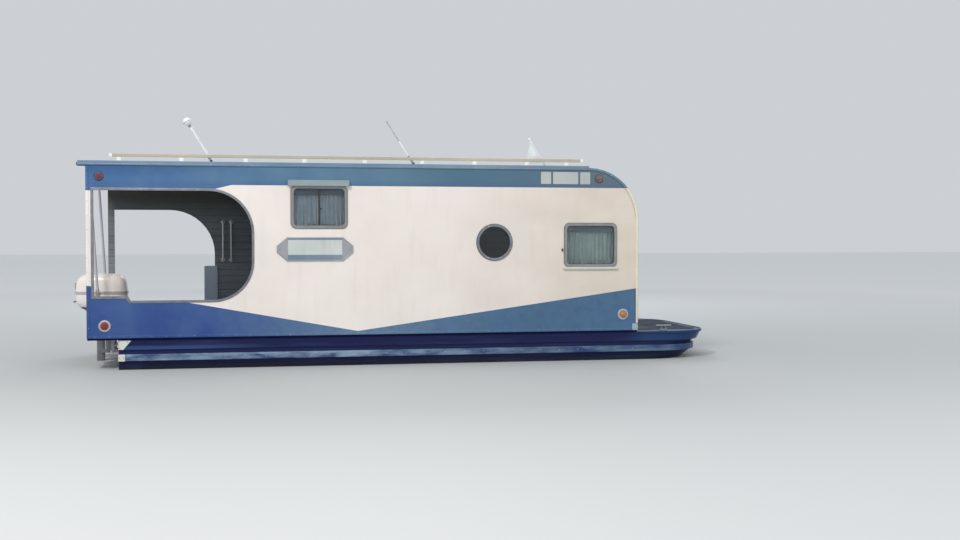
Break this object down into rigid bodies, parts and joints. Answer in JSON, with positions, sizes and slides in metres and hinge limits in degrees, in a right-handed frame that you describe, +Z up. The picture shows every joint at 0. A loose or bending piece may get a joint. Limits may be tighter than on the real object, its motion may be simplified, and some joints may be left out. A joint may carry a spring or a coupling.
{
  "type": "cabin houseboat",
  "caption": "Small cabin houseboat: blue scow hull, hollow caravan-like cabin, open aft porch and an outboard motor on a stern bracket.",
  "frame": {"origin": "at the waterline, on the centreline, amidships", "axes": "+X forward to the bow, +Y to port, +Z up"},
  "size_m": [8.01, 2.53, 3.4852],
  "materials": {
    "hull_blue": "dark blue marine gloss, weathered",
    "rail_blue": "pale blue, scuffed",
    "roof_white": "off-white deck paint",
    "deck_paint": "grey-blue deck paint",
    "cabin_cream": "warm white enamel with blue bands",
    "door_paint": "off-white enamel",
    "window_glass": "clear",
    "frame_aluminium": "satin, weathered",
    "plaque_enamel": "pale enamel with a grey-blue edge, blank",
    "lamp_red": "moulded lens",
    "lamp_amber": "moulded lens",
    "rail_cream": "cream enamel",
    "staff_white": "white enamel",
    "pennant_cloth": "plain woven, white",
    "curtain_cloth": "grey-green curtain cloth",
    "coaming_blue": "blue enamel",
    "motor_grey": "grey enamel on castings",
    "cowl_white": "off-white gloss",
    "propeller_metal": "painted, worn at the edges",
    "console_wood": "varnished",
    "wheel_black": "moulded grip"
  },
  "bodies": {
    "root": {"hull": "hull_blue", "rub_rail": "rail_blue", "roof": "roof_white", "cabin_floor": "deck_paint", "side_wall_starboard": "cabin_cream", "side_wall_port": "cabin_cream", "aft_bulkhead": "cabin_cream", "front_wall": "cabin_cream", "windscreen_starboard": "window_glass", "windscreen_port": "window_glass", "long_window_frame_starboard": "frame_aluminium", "long_window_glass_starboard": "window_glass", "fore_window_frame_starboard": "frame_aluminium", "long_window_curtain_starboard": "curtain_cloth", "fore_window_curtain_starboard": "curtain_cloth", "foredeck_panel": "deck_paint", "long_window_curtain_port": "curtain_cloth", "fore_window_curtain_port": "curtain_cloth", "fore_window_glass_starboard": "window_glass", "porthole_ring_starboard": "frame_aluminium", "porthole_glass_starboard": "window_glass", "plaque_starboard": "plaque_enamel", "long_window_frame_port": "frame_aluminium", "long_window_glass_port": "window_glass", "fore_window_frame_port": "frame_aluminium", "fore_window_glass_port": "window_glass", "porthole_ring_port": "frame_aluminium", "porthole_glass_port": "window_glass", "plaque_port": "plaque_enamel", "lamp_aft_upper_starboard": "lamp_red", "lamp_aft_lower_starboard": "lamp_red", "lamp_fore_upper_starboard": "lamp_amber", "lamp_fore_lower_starboard": "lamp_amber", "lamp_aft_upper_port": "lamp_red", "lamp_aft_lower_port": "lamp_red", "lamp_fore_upper_port": "lamp_amber", "lamp_fore_lower_port": "lamp_amber", "roof_rail_starboard": "rail_cream", "roof_rail_port": "rail_cream", "flagstaff": "staff_white", "pennant": "pennant_cloth", "stern_coaming_starboard": "coaming_blue", "stern_coaming_port": "coaming_blue", "roof_strut_starboard": "frame_aluminium", "roof_strut_port": "frame_aluminium", "bow_cleat_starboard": "frame_aluminium", "bow_cleat_port": "frame_aluminium", "motor_bracket": "frame_aluminium", "motor_clamp": "motor_grey", "helm_console": "console_wood"},
    "aft_door": {"aft_door": "door_paint"},
    "front_door": {"front_door": "door_paint", "front_door_glass": "window_glass"},
    "light_staff": {"light_staff": "staff_white"},
    "antenna": {"antenna": "staff_white"},
    "motor_swivel": {"motor_swivel": "motor_grey"},
    "motor": {"motor_leg": "motor_grey", "motor_cowl": "cowl_white"},
    "propeller": {"propeller": "propeller_metal"},
    "helm_wheel": {"helm_wheel": "wheel_black"}
  },
  "joints": [
    {"name": "aft_door_swing", "type": "hinge", "parent": "root", "child": "aft_door", "pos_m": [-2.0425, 0.34, 1.3], "axis": [0, 0, -1], "range_deg": [0, 110]},
    {"name": "front_door_swing", "type": "hinge", "parent": "root", "child": "front_door", "pos_m": [2.7475, 0.31, 1.1], "axis": [0, 0, 1], "range_deg": [0, 110]},
    {"name": "light_staff_fold", "type": "hinge", "parent": "root", "child": "light_staff", "pos_m": [-2.53, -1.13, 2.454], "axis": [0, -1, 0], "range_deg": [0, 48]},
    {"name": "antenna_fold", "type": "hinge", "parent": "root", "child": "antenna", "pos_m": [-0.118, -1.13, 2.454], "axis": [0, -1, 0], "range_deg": [0, 50]},
    {"name": "motor_tilt", "type": "hinge", "parent": "root", "child": "motor_swivel", "pos_m": [-3.77, 0, 0.5], "axis": [0, 1, 0], "range_deg": [0, 60]},
    {"name": "motor_steer", "type": "hinge", "parent": "motor_swivel", "child": "motor", "pos_m": [-3.84, 0, 0.3], "axis": [0, 0, 1], "range_deg": [-35, 35]},
    {"name": "propeller_spin", "type": "hinge", "parent": "motor", "child": "propeller", "pos_m": [-4.13, 0, -0.35], "axis": [1, 0, 0], "continuous": true},
    {"name": "helm_turn", "type": "hinge", "parent": "root", "child": "helm_wheel", "pos_m": [2.44, -0.75, 1.005], "axis": [0.8682, 0, -0.4961], "range_deg": [-540, 540]}
  ],
  "couplings": [
    {"joint": "helm_turn", "follows": "motor_steer", "ratio": 15.429}
  ]
}
